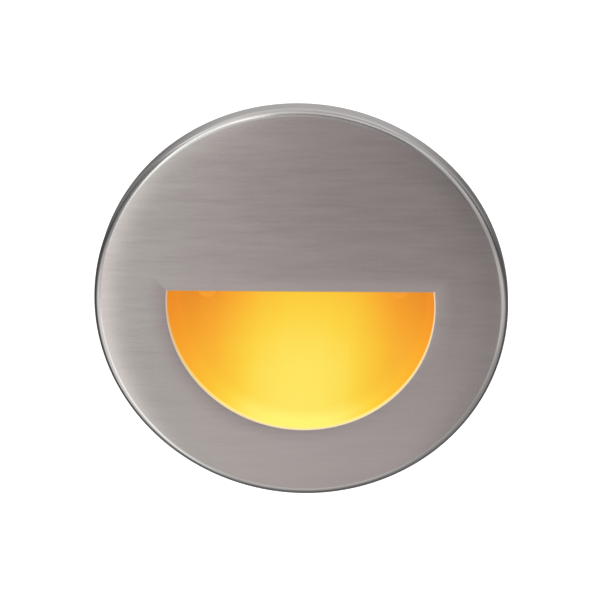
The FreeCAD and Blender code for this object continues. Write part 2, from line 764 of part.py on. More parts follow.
def scoop_form(body, grow, lid):
    """The room inside the scoop, or its outside where it is grown by the walls.

    It is a tapered drum, cut off level at the ceiling and sloping at the back.
    """
    reach = "(slope_top + 2 * back_wall - mouth_face)"
    wide = f"(mouth_radius + {grow})"
    turned(
        body,
        f"{body.Name}_drum",
        [
            ("0", "mouth_face"),
            (wide, "mouth_face"),
            (f"{wide} - {reach} * tan(draft_angle)", f"mouth_face + {reach}"),
            ("0", f"mouth_face + {reach}"),
        ],
    )
    profile = facing(body, f"{body.Name}_lid_profile", "mouth_face - overrun")
    rectangle(
        profile,
        f"-{wide} - overrun",
        f"mouth_chord + {lid}",
        f"{wide} + overrun",
        f"{wide} + overrun",
    )
    pocket(body, profile, f"{reach} + 2 * overrun", f"{body.Name}_lid")
    profile = sketch(body, "YZ_Plane", f"{body.Name}_back_profile")
    low = f"(mouth_radius + {grow} + overrun)"
    offset = "back_wall" if grow != "0" else "0"
    outline(
        profile,
        [
            (f"slope_foot + {offset} + (mouth_radius - {low}) * slope_rise", f"-{low}"),
            (f"slope_foot + {offset} + (mouth_radius + {low}) * slope_rise", low),
            (f"mouth_face + {reach} + 2 * {low}", low),
            (f"mouth_face + {reach} + 2 * {low}", f"-{low}"),
        ],
    )
    back = pocket(body, profile, f"2 * {wide} + 2 * overrun", f"{body.Name}_back", both_sides=True)
    mouth = number("mouth_face")
    return fillet(
        body,
        back,
        lambda point: point.y > mouth + NEAR,
        f"scoop_fillet + {grow}",
        f"{body.Name}_corners",
    )


def make_scoop():
    """Moulded reflector: sloping back, round floor, level ceiling and a lip."""
    room = new_body("scoop_room")
    scoop_form(room, "0", "0")
    body = new_body("scoop")
    scoop_form(body, "scoop_wall", "ceiling_wall")

    profile = facing(body, "lip_profile", "mouth_face")
    circle(profile, "0", "0", "lip_radius")
    pad(body, profile, "scoop_lip", "lip", reverse=True)
    profile = facing(body, "boss_rear_profile", "boss_face")
    for side in ("-", ""):
        circle(profile, f"{side}scoop_screw_across", "-scoop_screw_drop", "scoop_boss_radius")
    pad(body, profile, "boss_face - seat_face", "rear_bosses")

    doc.recompute()
    hollow = body.newObject("PartDesign::Boolean", "hollow")
    hollow.setObjects([room])
    hollow.Type = "Cut"
    body.Tip = hollow
    doc.recompute()

    profile = facing(body, "seat_profile", "seat_face")
    for side in ("-", ""):
        circle(profile, f"{side}scoop_screw_across", "-scoop_screw_drop", "scoop_boss_radius")
    pad(body, profile, "boss_face - seat_face", "screw_seats", reverse=True)
    profile = facing(body, "screw_hole_profile", "seat_face - overrun")
    for side in ("-", ""):
        circle(
            profile,
            f"{side}scoop_screw_across",
            "-scoop_screw_drop",
            "middle_screw_radius + hole_clearance",
        )
    pocket(body, profile, "boss_face - seat_face + 2 * overrun", "screw_holes")

    profile = sketch(body, "XY_Plane", "window_profile", "ceiling_top + overrun")
    rectangle(
        profile,
        "-lens_half_window",
        "row_depth - lens_half_depth",
        "lens_half_window",
        "row_depth + lens_half_depth",
    )
    pocket(body, profile, "ceiling_wall + 2 * overrun", "window")
    profile = sketch(body, "XY_Plane", "lens_bore_profile", "ceiling_top")
    for side in ("-", ""):
        circle(
            profile,
            f"{side}lens_screw_across",
            "row_depth",
            "small_screw_radius + thread_clearance",
        )
    pocket(body, profile, "lens_bore_depth", "lens_bores")
    return body


# ---- lens ----


def lens_outline(body, name, height):
    item = sketch(body, "XY_Plane", name, height)
    rectangle(
        item,
        "-lens_half_window - lens_border",
        "row_depth - lens_half_depth - lens_side_border",
        "lens_half_window + lens_border",
        "row_depth + lens_half_depth + lens_side_border",
    )
    return item


def lens_holes(body, height, depth, name):
    item = sketch(body, "XY_Plane", f"{name}_profile", height)
    for side in ("-", ""):
        circle(
            item,
            f"{side}lens_screw_across",
            "row_depth",
            "small_screw_radius + hole_clearance",
        )
    pocket(body, item, depth, name)


def make_lens_gasket():
    body = new_body("lens_gasket")
    pad(
        body,
        lens_outline(body, "gasket_outline", "ceiling_top"),
        "lens_gasket_thickness",
        "gasket_sheet",
    )
    profile = sketch(body, "XY_Plane", "gasket_window_profile", "lens_low + overrun")
    rectangle(
        profile,
        "-lens_half_window",
        "row_depth - lens_half_depth",
        "lens_half_window",
        "row_depth + lens_half_depth",
    )
    pocket(body, profile, "lens_gasket_thickness + 2 * overrun", "gasket_window")
    lens_holes(body, "lens_low + overrun", "lens_gasket_thickness + 2 * overrun", "gasket_holes")
    return body


def make_scoop_lens():
    body = new_body("scoop_lens")
    pad(body, lens_outline(body, "lens_plate_profile", "lens_low"), "lens_thickness", "lens_plate")
    profile = sketch(body, "XY_Plane", "lens_step_profile", "lens_low")
    rectangle(
        profile,
        "-lens_half_window + lens_fit",
        "row_depth - lens_half_depth + lens_fit",
        "lens_half_window - lens_fit",
        "row_depth + lens_half_depth - lens_fit",
    )
    pad(body, profile, "lens_low - mouth_chord", "lens_step", reverse=True)
    lens_holes(body, "lens_top + overrun", "lens_thickness + 2 * overrun", "lens_plate_holes")
    return body


# ---- screws ----


def screw_outline(item, radius, head, height, length, away):
    """Half of a pan-head screw from its head's underside, with its point away or not."""
    sign = "" if away else "-"
    back = "-" if away else ""
    outline(
        item,
        [
            ("0", f"{back}({height})"),
            (f"head_crown_share * {head}", f"{back}({height})"),
            (head, f"{back}({height}) * head_edge_share"),
            (head, "0"),
            (radius, "0"),
            (radius, f"{sign}({length} - {radius})"),
            (f"{radius} / 2", f"{sign}({length})"),
            ("0", f"{sign}({length})"),
        ],
    )


def screws(label, places, seat, size, length, axis="Y", away=True):
    """A group of like screws with crossed recesses.

    Places are (across, up) seen along the screws, and the seat is under the heads.
    """
    body = new_body(label)
    radius = f"{size}_screw_radius"
    head = f"{size}_head_radius"
    height = f"{size}_head_height"
    slot = f"cross_slot_share * {radius}"
    back = "-" if away else ""
    for index, (across, up) in enumerate(places):
        if axis == "Y":
            item = sketch(body, "XY_Plane", f"{label}_{index}_profile", up, across, seat)
        else:
            item = sketch(body, "XZ_Plane", f"{label}_{index}_profile", f"-({up})", across, seat)
        screw_outline(item, radius, head, height, length, away)
        revolve(body, item, f"{label}_{index}")
        top = f"({seat}) {'-' if away else '+'} ({height})"
        if axis == "Y":
            cross = facing(body, f"{label}_{index}_cross", top, across, up)
        else:
            cross = sketch(body, "XY_Plane", f"{label}_{index}_cross", top, across, up)
        cross_outline(cross, f"cross_arm_share * {head}", slot)
        inwards = (axis == "Y") != away
        pocket(body, cross, f"recess_share * {height}", f"{label}_{index}_recess", reverse=inwards)
    return body


def cross_outline(item, arm, half):
    """A plus sign."""
    outline(
        item,
        [
            (arm, f"-{half}"),
            (arm, half),
            (half, half),
            (half, arm),
            (f"-{half}", arm),
            (f"-{half}", half),
            (f"-{arm}", half),
            (f"-{arm}", f"-{half}"),
            (f"-{half}", f"-{half}"),
            (f"-{half}", f"-{arm}"),
            (half, f"-{arm}"),
            (half, f"-{half}"),
        ],
    )


def two_sides(across, up):
    return [(f"-({across})", up), (across, up)]


def make_scoop_screws():
    return screws(
        "scoop_screws",
        two_sides("scoop_screw_across", "-scoop_screw_drop"),
        "seat_face",
        "middle",
        "boss_face - seat_face + post_bore_depth - bore_spare",
    )


def make_lens_screws():
    return screws(
        "lens_screws",
        two_sides("lens_screw_across", "row_depth"),
        "lens_top",
        "small",
        "lens_thickness + lens_gasket_thickness + lens_bore_depth - bore_spare",
        axis="Z",
        away=False,
    )


def make_led_board_screws():
    return screws(
        "led_board_screws",
        two_sides("led_screw_across", "row_depth + led_screw_back"),
        "led_board_low",
        "small",
        "board_thickness + pad_thickness + shelf_thickness - bore_spare",
        axis="Z",
    )


def stand_places():
    return two_sides("stand_across", "stand_low") + two_sides("stand_across", "stand_high")


def make_driver_board_screws():
    return screws(
        "driver_board_screws",
        stand_places(),
        "driver_front",
        "small",
        "board_thickness + stand_length - bore_spare",
    )


def make_rear_cover_screws():
    places = two_sides("cover_circle", "cover_circle") + two_sides("cover_circle", "-cover_circle")
    return screws(
        "rear_cover_screws", places, "cover_back", "middle", "cover_screw_length", away=False
    )


# ---- emitter board ----


def board_outline(body, name, height):
    item = sketch(body, "XY_Plane", name, height)
    rectangle(
        item, "-led_board_half_length", "board_front", "led_board_half_length", "board_rear"
    )
    return item


def board_sheet(label, low, thickness):
    body = new_body(label)
    pad(body, board_outline(body, f"{label}_outline", low), thickness, f"{label}_sheet")
    profile = sketch(body, "XY_Plane", f"{label}_hole_profile", f"{low} + {thickness} + overrun")
    for side in ("-", ""):
        circle(
            profile,
            f"{side}led_screw_across",
            "row_depth + led_screw_back",
            "small_screw_radius + hole_clearance",
        )
    pocket(body, profile, f"{thickness} + 2 * overrun", f"{label}_holes")
    return body


def make_led_board():
    return board_sheet("led_board", "led_board_low", "board_thickness")


def make_thermal_pad():
    return board_sheet("thermal_pad", "pad_low", "pad_thickness")


def make_led_emitters():
    """A row of emitters: square bases with domes, pointing down."""
    body = new_body("led_emitters")
    first = "(-emitter_pitch * (emitter_count - 1) / 2)"
    half = "emitter_size / 2"
    profile = sketch(body, "XY_Plane", "emitter_profile", "led_board_low", first, "row_depth")
    rectangle(profile, f"-{half}", f"-{half}", half, half)
    base = pad(body, profile, "emitter_base", "emitter", reverse=True)
    dome = sketch(
        body, "XZ_Plane", "dome_profile", "-row_depth", first, "led_board_low - emitter_base"
    )
    rise = "(emitter_height - emitter_base)"
    foot = "(dome_share * emitter_size)"
    bow = f"(({foot}^2 + {rise}^2) / (2 * {rise}))"
    turn = f"asin({foot} / {bow}) / 2"
    outline(
        dome,
        [
            ("0", f"-{rise}", (f"{bow} * sin({turn})", f"{bow} - {rise} - {bow} * cos({turn})"), bow),
            (foot, "0"),
            ("0", "0"),
        ],
    )
    cap = revolve(body, dome, "dome")
    row = body.newObject("PartDesign::LinearPattern", "emitter_row")
    row.Originals = [base, cap]
    row.Direction = (origin_part(body, "X_Axis"), [""])
    bind(row, Length="emitter_pitch * (emitter_count - 1)", Occurrences="emitter_count")
    body.Tip = row
    return body


def make_led_connector():
    body = new_body("led_connector")
    profile = sketch(body, "XY_Plane", "led_connector_profile", "led_board_low")
    rectangle(
        profile,
        "connector_left",
        "connector_face - led_connector_length",
        "connector_left + connector_width",
        "connector_face",
    )
    pad(body, profile, "led_connector_height", "led_connector_block", reverse=True)
    lead_sockets(body, "lead_height", "connector_face", forward=False)
    return body


def lead_places():
    return ("connector_across - lead_pitch / 2", "connector_across + lead_pitch / 2")


def lead_sockets(body, height, face, forward):
    """Round sockets that the leads start from, in a connector's front or rear face."""
    profile = facing(body, f"{body.Name}_socket_profile", face)
    for across in lead_places():
        circle(profile, across, height, "lead_radius + thread_clearance")
    pocket(body, profile, "socket_depth", f"{body.Name}_sockets", reverse=not forward)


# ---- driver board ----


def make_driver_board():
    body = new_body("driver_board")
    half = "sqrt(driver_radius^2 - driver_flat^2)"
    profile = facing(body, "driver_outline", "driver_front")
    outline(
        profile,
        [
            (f"-{half}", "driver_flat"),
            (half, "driver_flat", ("0", "driver_radius"), "driver_radius"),
        ],
    )
    pad(body, profile, "board_thickness", "driver_sheet", reverse=True)
    profile = facing(body, "driver_hole_profile", "driver_front - overrun")
    for across, up in stand_places():
        circle(profile, across, up, "small_screw_radius + hole_clearance")
    pocket(body, profile, "board_thickness + 2 * overrun", "driver_holes")
    return body


def block(label, across, up, width, height, depth, soften):
    """A chamfered block on the driver board, seen from the front."""
    body = new_body(label)
    profile = facing(body, f"{label}_profile", "driver_front", across, up)
    rectangle(profile, f"-{width} / 2", f"-{height} / 2", f"{width} / 2", f"{height} / 2")
    base = pad(body, profile, depth, f"{label}_block")
    front = number(f"driver_front - {depth}")
    chamfer(body, base, lambda point: near(point.y, front), soften, f"{label}_edges")
    return body


# Parts on the driver board: across, up, width, height, depth, softened edge.
BLOCKS = {
    "bridge_rectifier": (
        "-stand_across + rectifier_inset",
        "driver_flat + rectifier_rise",
        "rectifier_width",
        "rectifier_height",
        "rectifier_depth",
        "rectifier_edge",
    ),
    "power_inductor": (
        "stand_across - inductor_inset",
        "driver_flat + inductor_rise",
        "inductor_side",
        "inductor_side",
        "inductor_depth",
        "inductor_edge",
    ),
    "driver_chip": (
        "stand_across - chip_inset",
        "driver_flat + chip_rise",
        "chip_width",
        "chip_height",
        "chip_depth",
        "chip_edge",
    ),
}


def make_filter_capacitor():
    """A capacitor lying on the board, with the groove of its crimped end."""
    body = new_body("filter_capacitor")
    profile = sketch(
        body, "YZ_Plane", "capacitor_profile", "capacitor_left", "capacitor_axis", "capacitor_up"
    )
    circle(profile, "0", "0", "capacitor_radius")
    can = pad(body, profile, "capacitor_length", "capacitor_can")
    ends = (number("capacitor_left"), number("capacitor_left + capacitor_length"))
    chamfer(
        body,
        can,
        lambda point: any(near(point.x, end) for end in ends),
        "capacitor_rim",
        "capacitor_rims",
    )
    ring = sketch(body, "XY_Plane", "crimp_profile", "capacitor_up", "0", "capacitor_axis")
    rectangle(
        ring,
        "capacitor_left + crimp_place",
        "capacitor_radius - capacitor_rim",
        "capacitor_left + crimp_place + crimp_width",
        "capacitor_radius + overrun",
    )
    crimp = body.newObject("PartDesign::Groove", "capacitor_crimp")
    crimp.Profile = ring
    crimp.ReferenceAxis = (ring, ["H_Axis"])
    crimp.Angle = 360
    return body


def make_supply_terminal():
    """Two-way terminal: wire entries below, clamp screws in front."""
    body = new_body("supply_terminal")
    profile = facing(
        body, "terminal_profile", "driver_front", "-terminal_across", "terminal_low"
    )
    rectangle(profile, "-terminal_width / 2", "0", "terminal_width / 2", "terminal_height")
    pad(body, profile, "terminal_depth", "terminal_block")
    ways = ("-terminal_across - terminal_pitch / 2", "-terminal_across + terminal_pitch / 2")
    entries = sketch(body, "XY_Plane", "entry_profile", "terminal_low - overrun")
    for across in ways:
        circle(entries, across, "driver_front - entry_stand", "entry_radius")
    pocket(body, entries, "entry_depth + overrun", "wire_entries", reverse=True)
    wells = facing(body, "well_profile", "terminal_front - overrun")
    for across in ways:
        circle(wells, across, "terminal_low + terminal_height / 2", "well_radius")
    pocket(body, wells, "well_depth + overrun", "clamp_wells")
    return body


def make_lead_connector():
    body = new_body("lead_connector")
    profile = facing(body, "lead_connector_profile", "driver_front")
    rectangle(
        profile,
        "connector_left",
        "lead_foot - lead_connector_height / 2",
        "connector_left + connector_width",
        "lead_foot + lead_connector_height / 2",
    )
    pad(body, profile, "lead_connector_depth", "lead_connector_block")
    lead_sockets(body, "lead_foot", "lead_face", forward=True)
    return body


def make_lead(label, across):
    """A lead from the emitter board back and down to the driver board."""
    start = number("connector_face - socket_depth")
    finish = number("lead_face + socket_depth")
    high = number("lead_height")
    low = number("lead_foot")
    place = number(across)
    run = (finish - start) * number("lead_run_share")
    corners = [
        Vector(place, start, high),
        Vector(place, start + run, high),
        Vector(place, finish - run, low),
        Vector(place, finish, low),
    ]
    path, length = rounded_path(corners)
    section = Part.Wire(
        Part.Circle(corners[0], Vector(0, 1, 0), number("lead_radius")).toShape()
    )
    solid = path.makePipeShell([section], True, False)
    wanted = math.pi * number("lead_radius") ** 2 * length
    print(label, "length", round(length, 2), "volume share", round(solid.Volume / wanted, 5))
    item = doc.addObject("Part::Feature", label)
    item.Shape = solid
    item.Label = label
    item.Placement = FreeCAD.Placement()
    return item


def rounded_path(corners):
    """Straight runs joined by tangent arcs as large as the runs allow."""
    runs = [(end - start).Length for start, end in zip(corners, corners[1:])]
    edges = []
    last = corners[0]
    for index in range(1, len(corners) - 1):
        before = (corners[index] - corners[index - 1]).normalize()
        after = (corners[index + 1] - corners[index]).normalize()
        half_turn = before.getAngle(after) / 2
        back = BEND_SHARE * min(runs[index - 1], runs[index])
        radius = back / math.tan(half_turn)
        print("lead bend radius", round(radius, 2))
        enter = corners[index] - before * back
        leave = corners[index] + after * back
        inward = (after - before).normalize()
        centre = corners[index] + inward * (radius / math.cos(half_turn))
        middle = centre - inward * radius
        edges.append(Part.LineSegment(last, enter).toShape())
        edges.append(Part.Arc(enter, middle, leave).toShape())
        last = leave
    edges.append(Part.LineSegment(last, corners[-1]).toShape())
    path = Part.Wire(edges)
    return path, sum(edge.Length for edge in edges)


# ---- rear cover ----


def make_rear_cover():
    body = new_body("rear_cover")
    turned(
        body,
        "cover_plate",
        [
            ("0", "cover_front"),
            ("cover_radius", "cover_front"),
            ("cover_radius", "cover_back - cover_edge"),
            ("cover_radius - cover_edge", "cover_back"),
            ("0", "cover_back"),
        ],
    )
    profile = facing(body, "stand_profile", "cover_front")
    for across, up in stand_places():
        circle(profile, across, up, "stand_radius")
    pad(body, profile, "stand_length", "stands")
    profile = facing(body, "stand_bore_profile", "driver_back - overrun")
    for across, up in stand_places():
        circle(profile, across, up, "small_screw_radius + thread_clearance")
    pocket(body, profile, "stand_length + overrun", "stand_bores")

    for index in range(int(number("fin_count"))):
        place = f"({index} - (fin_count - 1) / 2) * fin_pitch"
        profile = facing(body, f"fin_{index}_profile", "cover_back", place)
        rectangle(
            profile,
            "-fin_thickness / 2",
            "fin_foot",
            "fin_thickness / 2",
            f"sqrt((cover_radius - fin_inset)^2 - ({place})^2)",
        )
        pad(body, profile, "fin_height", f"fin_{index}", reverse=True)

    profile = facing(body, "cover_hole_profile", "cover_front - overrun")
    for across in ("-cover_circle", "cover_circle"):
        for up in ("-cover_circle", "cover_circle"):
            circle(profile, across, up, "middle_screw_radius + hole_clearance")
    pocket(body, profile, "cover_thickness + 2 * overrun", "cover_holes")
    profile = facing(body, "gland_hole_profile", "cover_front - overrun")
    circle(profile, "0", "-gland_drop", "gland_thread + gland_fit")
    pocket(body, profile, "cover_thickness + 2 * overrun", "gland_hole")
    return body


def make_rear_gasket():
    body = flat_ring(
        "rear_gasket", "rear_gasket_inner", "cover_radius", "can_depth", "cover_front"
    )
    profile = facing(body, "rear_gasket_hole_profile", "can_depth - overrun")
    for across in ("-cover_circle", "cover_circle"):
        for up in ("-cover_circle", "cover_circle"):
            circle(profile, across, up, "middle_screw_radius + hole_clearance")
    pocket(body, profile, "rear_gasket_thickness + 2 * overrun", "rear_gasket_holes")
    return body


# ---- cable gland ----


def gland_turned(body, name, corners):
    """A shape turned about the gland's own axis, from corners (radius, depth)."""
    profile = sketch(body, "XY_Plane", f"{name}_profile", "-gland_drop")
    outline(profile, corners)
    return revolve(body, profile, name)


def make_gland_body():
    body = new_body("gland_body")
    seat = "gland_end - seal_length"
    gland_turned(
        body,
        "gland_stem_and_mouth",
        [
            ("gland_bore", "cover_front - gland_stem"),
            ("gland_thread", "cover_front - gland_stem"),
            ("gland_thread", "gland_end"),
            ("seal_radius + gland_fit", "gland_end"),
            ("seal_radius + gland_fit", seat),
            ("gland_bore", seat),
        ],
    )
    profile = facing(body, "gland_hex_profile", "cover_back")
    hexagon(profile, "-gland_drop", "gland_hex", "hex_corner")
    circle(profile, "0", "-gland_drop", "gland_thread - fuse_depth")
    pad(body, profile, "gland_flange", "gland_hexagon", reverse=True)
    return body


def make_gland_locknut():
    body = new_body("gland_locknut")
    profile = facing(body, "locknut_profile", "cover_front")
    hexagon(profile, "-gland_drop", "gland_hex", "hex_corner")
    circle(profile, "0", "-gland_drop", "gland_thread + gland_fit")
    pad(body, profile, "gland_locknut_length", "locknut")
    return body


def make_gland_seal():
    body = new_body("gland_seal")
    gland_turned(
        body,
        "seal_ring",
        [
            ("seal_bore", "gland_end - seal_length"),
            ("seal_radius", "gland_end - seal_length"),
            ("seal_radius", "gland_end"),
            ("seal_bore", "gland_end"),
        ],
    )
    return body


def make_gland_nut():
    body = new_body("gland_nut")
    gland_turned(
        body,
        "nut_dome",
        [
            ("gland_thread + gland_fit", "nut_start"),
            ("gland_hex", "nut_start"),
            ("gland_hex", "nut_finish - nut_end"),
            ("gland_hex - nut_end", "nut_finish"),
            ("gland_bore", "nut_finish"),
            ("gland_bore", "gland_end + gland_fit"),
            ("gland_thread + gland_fit", "gland_end + gland_fit"),
        ],
    )
    profile = facing(body, "nut_hex_profile", "nut_start")
    hexagon(profile, "-gland_drop", "gland_hex", "hex_corner")
    circle(profile, "0", "-gland_drop", "gland_thread + fuse_depth")
    pad(body, profile, "gland_mouth - nut_end", "nut_hexagon", reverse=True)
    return body


# ---- all pieces ----


def make_all():
    pieces = [
        make_face_plate(),
        make_housing(),
        make_wall_gasket(),
        make_plate_springs(),
        make_scoop(),
        make_scoop_screws(),
        make_scoop_lens(),
        make_lens_gasket(),
        make_lens_screws(),
        make_led_board(),
        make_thermal_pad(),
        make_led_emitters(),
        make_led_board_screws(),
        make_led_connector(),
        make_driver_board(),
        make_driver_board_screws(),
        make_filter_capacitor(),
        make_supply_terminal(),
        make_lead_connector(),
        make_rear_cover(),
        make_rear_gasket(),
        make_rear_cover_screws(),
        make_gland_body(),
        make_gland_locknut(),
        make_gland_seal(),
        make_gland_nut(),
    ]
    pieces += [block(label, *values) for label, values in BLOCKS.items()]
    for label, across in zip(("led_lead_red", "led_lead_black"), lead_places()):
        pieces.append(make_lead(label, across))
    return pieces


def check(pieces):
    """Stops where an object failed or a piece has no sound shape."""
    bad = [item.Name for item in doc.Objects if {"Invalid", "Error"} & set(item.State)]
    bad += [item.Label for item in pieces if item.Shape.isNull() or not item.Shape.isValid()]
    if bad:
        raise ValueError(f"these failed: {bad}")


def write(pieces):
    os.makedirs("parts", exist_ok=True)
    for item in pieces:
        item.Shape.exportStep(f"parts/{item.Label}.step")
        box = item.Shape.BoundBox
        print(item.Label, len(item.Shape.Solids), round(item.Shape.Volume, 1), box)


pieces = make_all()
doc.recompute()
check(pieces)
write(pieces)
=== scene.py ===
import json
import math

import bmesh
import bpy
from mathutils import Matrix, Vector


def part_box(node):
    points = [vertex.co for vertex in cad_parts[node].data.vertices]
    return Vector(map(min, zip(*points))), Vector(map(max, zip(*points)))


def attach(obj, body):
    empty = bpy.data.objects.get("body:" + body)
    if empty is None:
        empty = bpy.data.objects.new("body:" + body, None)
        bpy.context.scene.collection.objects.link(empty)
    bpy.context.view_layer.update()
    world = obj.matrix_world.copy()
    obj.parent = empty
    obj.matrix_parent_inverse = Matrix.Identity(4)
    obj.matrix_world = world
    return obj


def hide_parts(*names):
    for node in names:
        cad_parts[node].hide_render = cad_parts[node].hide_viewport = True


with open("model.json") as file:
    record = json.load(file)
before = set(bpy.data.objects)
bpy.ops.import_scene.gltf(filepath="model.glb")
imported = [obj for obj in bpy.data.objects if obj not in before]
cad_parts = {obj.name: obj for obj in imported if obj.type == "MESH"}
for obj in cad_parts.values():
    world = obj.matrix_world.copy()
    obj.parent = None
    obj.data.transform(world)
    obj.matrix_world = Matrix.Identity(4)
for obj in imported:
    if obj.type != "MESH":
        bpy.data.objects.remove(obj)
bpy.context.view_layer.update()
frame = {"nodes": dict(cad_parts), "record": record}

# ---- sizes, in metres and radians, from the frame where it has them ----

MM = 0.001

# The plate, a web with a skirt behind its edge, just inside the CAD plate's box.
plate_low, plate_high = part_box("face_plate")
BOX_MARGIN = 0.01 * MM
PLATE_RADIUS = plate_high.x - BOX_MARGIN
PLATE_FRONT = plate_low.y
PLATE_BACK = plate_high.y
PLATE_WEB = 2.4 * MM
PLATE_SKIRT = 2.0 * MM
WEB_BACK = PLATE_FRONT + PLATE_WEB
SKIRT_INSIDE = PLATE_RADIUS - PLATE_SKIRT

# Its edge: the face rolls back, steeper outwards, and ends in most of an ellipse's quarter.
ROLL_WIDTH = 10.0 * MM
ROLL_DROP = 0.3 * MM
ROLL_POWER = 3
ROUND_ACROSS = 2.6 * MM
ROUND_DEEP = 1.4 * MM

# Its opening: a circle closed by a straight edge over its centre, with a rounded front
# edge, and round it a lip that sinks towards it, steeper inwards.
OPENING_RADIUS = 41.0 * MM
OPENING_CHORD = 4.75 * MM
OPENING_ROUND = 0.5 * MM
LIP_WIDTH = 5.5 * MM
LIP_DROP = 0.5 * MM
LIP_POWER = 2.2

# The rib inside its foot that keeps it upright, and the notch that it is pried off by.
KEY_WIDTH = 4.0 * MM
KEY_HEIGHT = 1.6 * MM
KEY_LENGTH = 2.9 * MM
KEY_BEVEL = 0.25 * MM
KEY_BEVEL_STEPS = 3
NOTCH_WIDTH = 10.0 * MM
NOTCH_DEPTH = 1.2 * MM
NOTCH_HEIGHT = 1.1 * MM

# How finely its skin is divided, and what counts as one point and as a sharp edge.
ARC_STEPS = 420
CHORD_STEPS = 240
OPENING_ROUND_STEPS = 7
LIP_STEPS = 10
ROLL_STEPS = 8
RIM_STEPS = 12
MERGE_DISTANCE = 0.0001 * MM
SHARP_ANGLE = math.radians(40)

# The material slots of its strips, and the map that its grain runs along.
ON_FACE, ON_RIM, ON_CUT = range(3)
GRAIN_MAP = "grain"

# The bevel that softens every CAD node's edges.
NODE_BEVEL = 0.12 * MM
NODE_BEVEL_STEPS = 2
NODE_BEVEL_ANGLE = math.radians(28)


# ---- node helpers ----

# Noise mostly stays between these values.
NOISE_LOW, NOISE_HIGH = 0.3, 0.7

# Where a colour mix node has its sockets.
MIX_FACTOR, MIX_FIRST, MIX_SECOND, MIX_RESULT = 0, 6, 7, 2


class Tree:
    """Short calls for building one node tree."""

    def __init__(self, owner):
        owner.use_nodes = True
        self.tree = owner.node_tree
        self.tree.nodes.clear()

    def add(self, kind, **values):
        node = self.tree.nodes.new(kind)
        for key, value in values.items():
            setattr(node, key, value)
        return node

    def feed(self, socket, value):
        """Sets a number or a colour on a socket, or links an output to it."""
        if isinstance(value, (int, float)):
            socket.default_value = value
        elif isinstance(value, tuple):
            socket.default_value = (*value, 1)
        else:
            self.tree.links.new(value, socket)

    def axes(self, vector):
        """A vector's outputs X, Y and Z."""
        node = self.add("ShaderNodeSeparateXYZ")
        self.feed(node.inputs["Vector"], vector)
        return node.outputs

    def position(self):
        """The place on the object, in metres."""
        return self.add("ShaderNodeTexCoord").outputs["Object"]

    def facing(self):
        """The direction that the surface faces, along X, Y and Z."""
        return self.axes(self.add("ShaderNodeNewGeometry").outputs["Normal"])

    def noise(self, fineness, detail):
        """Noise of so many features a metre, one number for all axes or one for each."""
        mapping = self.add("ShaderNodeMapping")
        scale = fineness if isinstance(fineness, tuple) else (fineness,) * 3
        mapping.inputs["Scale"].default_value = scale
        self.feed(mapping.inputs["Vector"], self.position())
        node = self.add("ShaderNodeTexNoise")
        self.feed(node.inputs["Scale"], 1.0)
        self.feed(node.inputs["Detail"], detail)
        self.feed(node.inputs["Vector"], mapping.outputs["Vector"])
        return node.outputs["Fac"]

    def math(self, operation, *values, clamp=False):
        node = self.add("ShaderNodeMath", operation=operation, use_clamp=clamp)
        for socket, value in zip(node.inputs, values):
            self.feed(socket, value)
        return node.outputs["Value"]

    def share(self, direction):
        """Maps a direction's -1..1 to 0..1."""
        return self.math("MULTIPLY_ADD", direction, 0.5, 0.5)

    def spread(self, noise, low, high):
        """Maps a noise's useful range to low..high."""
        node = self.add("ShaderNodeMapRange")
        limits = {"From Min": NOISE_LOW, "From Max": NOISE_HIGH, "To Min": low, "To Max": high}
        for name, limit in limits.items():
            self.feed(node.inputs[name], limit)
        self.feed(node.inputs["Value"], noise)
        return node.outputs["Result"]

    def ramp(self, value, stops):
        """The tone at a value of 0..1, from stops (place, number or colour)."""
        node = self.add("ShaderNodeValToRGB")
        elements = node.color_ramp.elements
        while len(elements) < len(stops):
            elements.new(0.5)
        for element, (place, tone) in zip(elements, stops):
            element.position = place
            element.color = (*tone, 1) if isinstance(tone, tuple) else (tone, tone, tone, 1)
        self.feed(node.inputs["Fac"], value)
        return node.outputs["Color"]

    def read(self, value, stops):
        """The tone at a value, from stops whose places are such values too."""
        start, end = stops[0][0], stops[-1][0]
        span = end - start
        share = self.math("MULTIPLY_ADD", value, 1 / span, -start / span)
        return self.ramp(share, [((place - start) / span, tone) for place, tone in stops])

    def mix(self, factor, first, second, kind="MIX"):
        """From the first tone at a factor of 0 to the second, or to both combined, at 1."""
        node = self.add("ShaderNodeMix", data_type="RGBA", blend_type=kind)
        for index, value in ((MIX_FACTOR, factor), (MIX_FIRST, first), (MIX_SECOND, second)):
            self.feed(node.inputs[index], value)
        return node.outputs[MIX_RESULT]

    def combine(self, kind, first, second):
        """Both tones added or multiplied."""
        return self.mix(1, first, second, kind)


class Surface(Tree):
    """A material of one principled shader."""

    def __init__(self, name):
        self.material = bpy.data.materials.new(name)
        super().__init__(self.material)
        self.shader = self.add("ShaderNodeBsdfPrincipled")
        output = self.add("ShaderNodeOutputMaterial")
        self.feed(output.inputs["Surface"], self.shader.outputs["BSDF"])

    def set(self, **values):
        """Numbers, colours and links on the shader's own sockets."""
        for key, value in values.items():
            self.feed(self.shader.inputs[key.replace("_", " ")], value)

    def relief(self, height, strength, depth):
        node = self.add("ShaderNodeBump")
        self.feed(node.inputs["Strength"], strength)
        self.feed(node.inputs["Distance"], depth)
        self.feed(node.inputs["Height"], height)
        self.set(Normal=node.outputs["Normal"])


def linear(red, green, blue):
    """A colour given as it looks on a screen, 0 to 255."""
    return tuple(((value / 255 + 0.055) / 1.055) ** 2.4 for value in (red, green, blue))


# ---- materials ----

# The brushed grain's three layers: the fineness along X, Y and Z, and the share.
GRAIN_LAYERS = (((170, 900, 1900), 0.2), ((75, 300, 800), 0.4), ((45, 100, 300), 0.4))


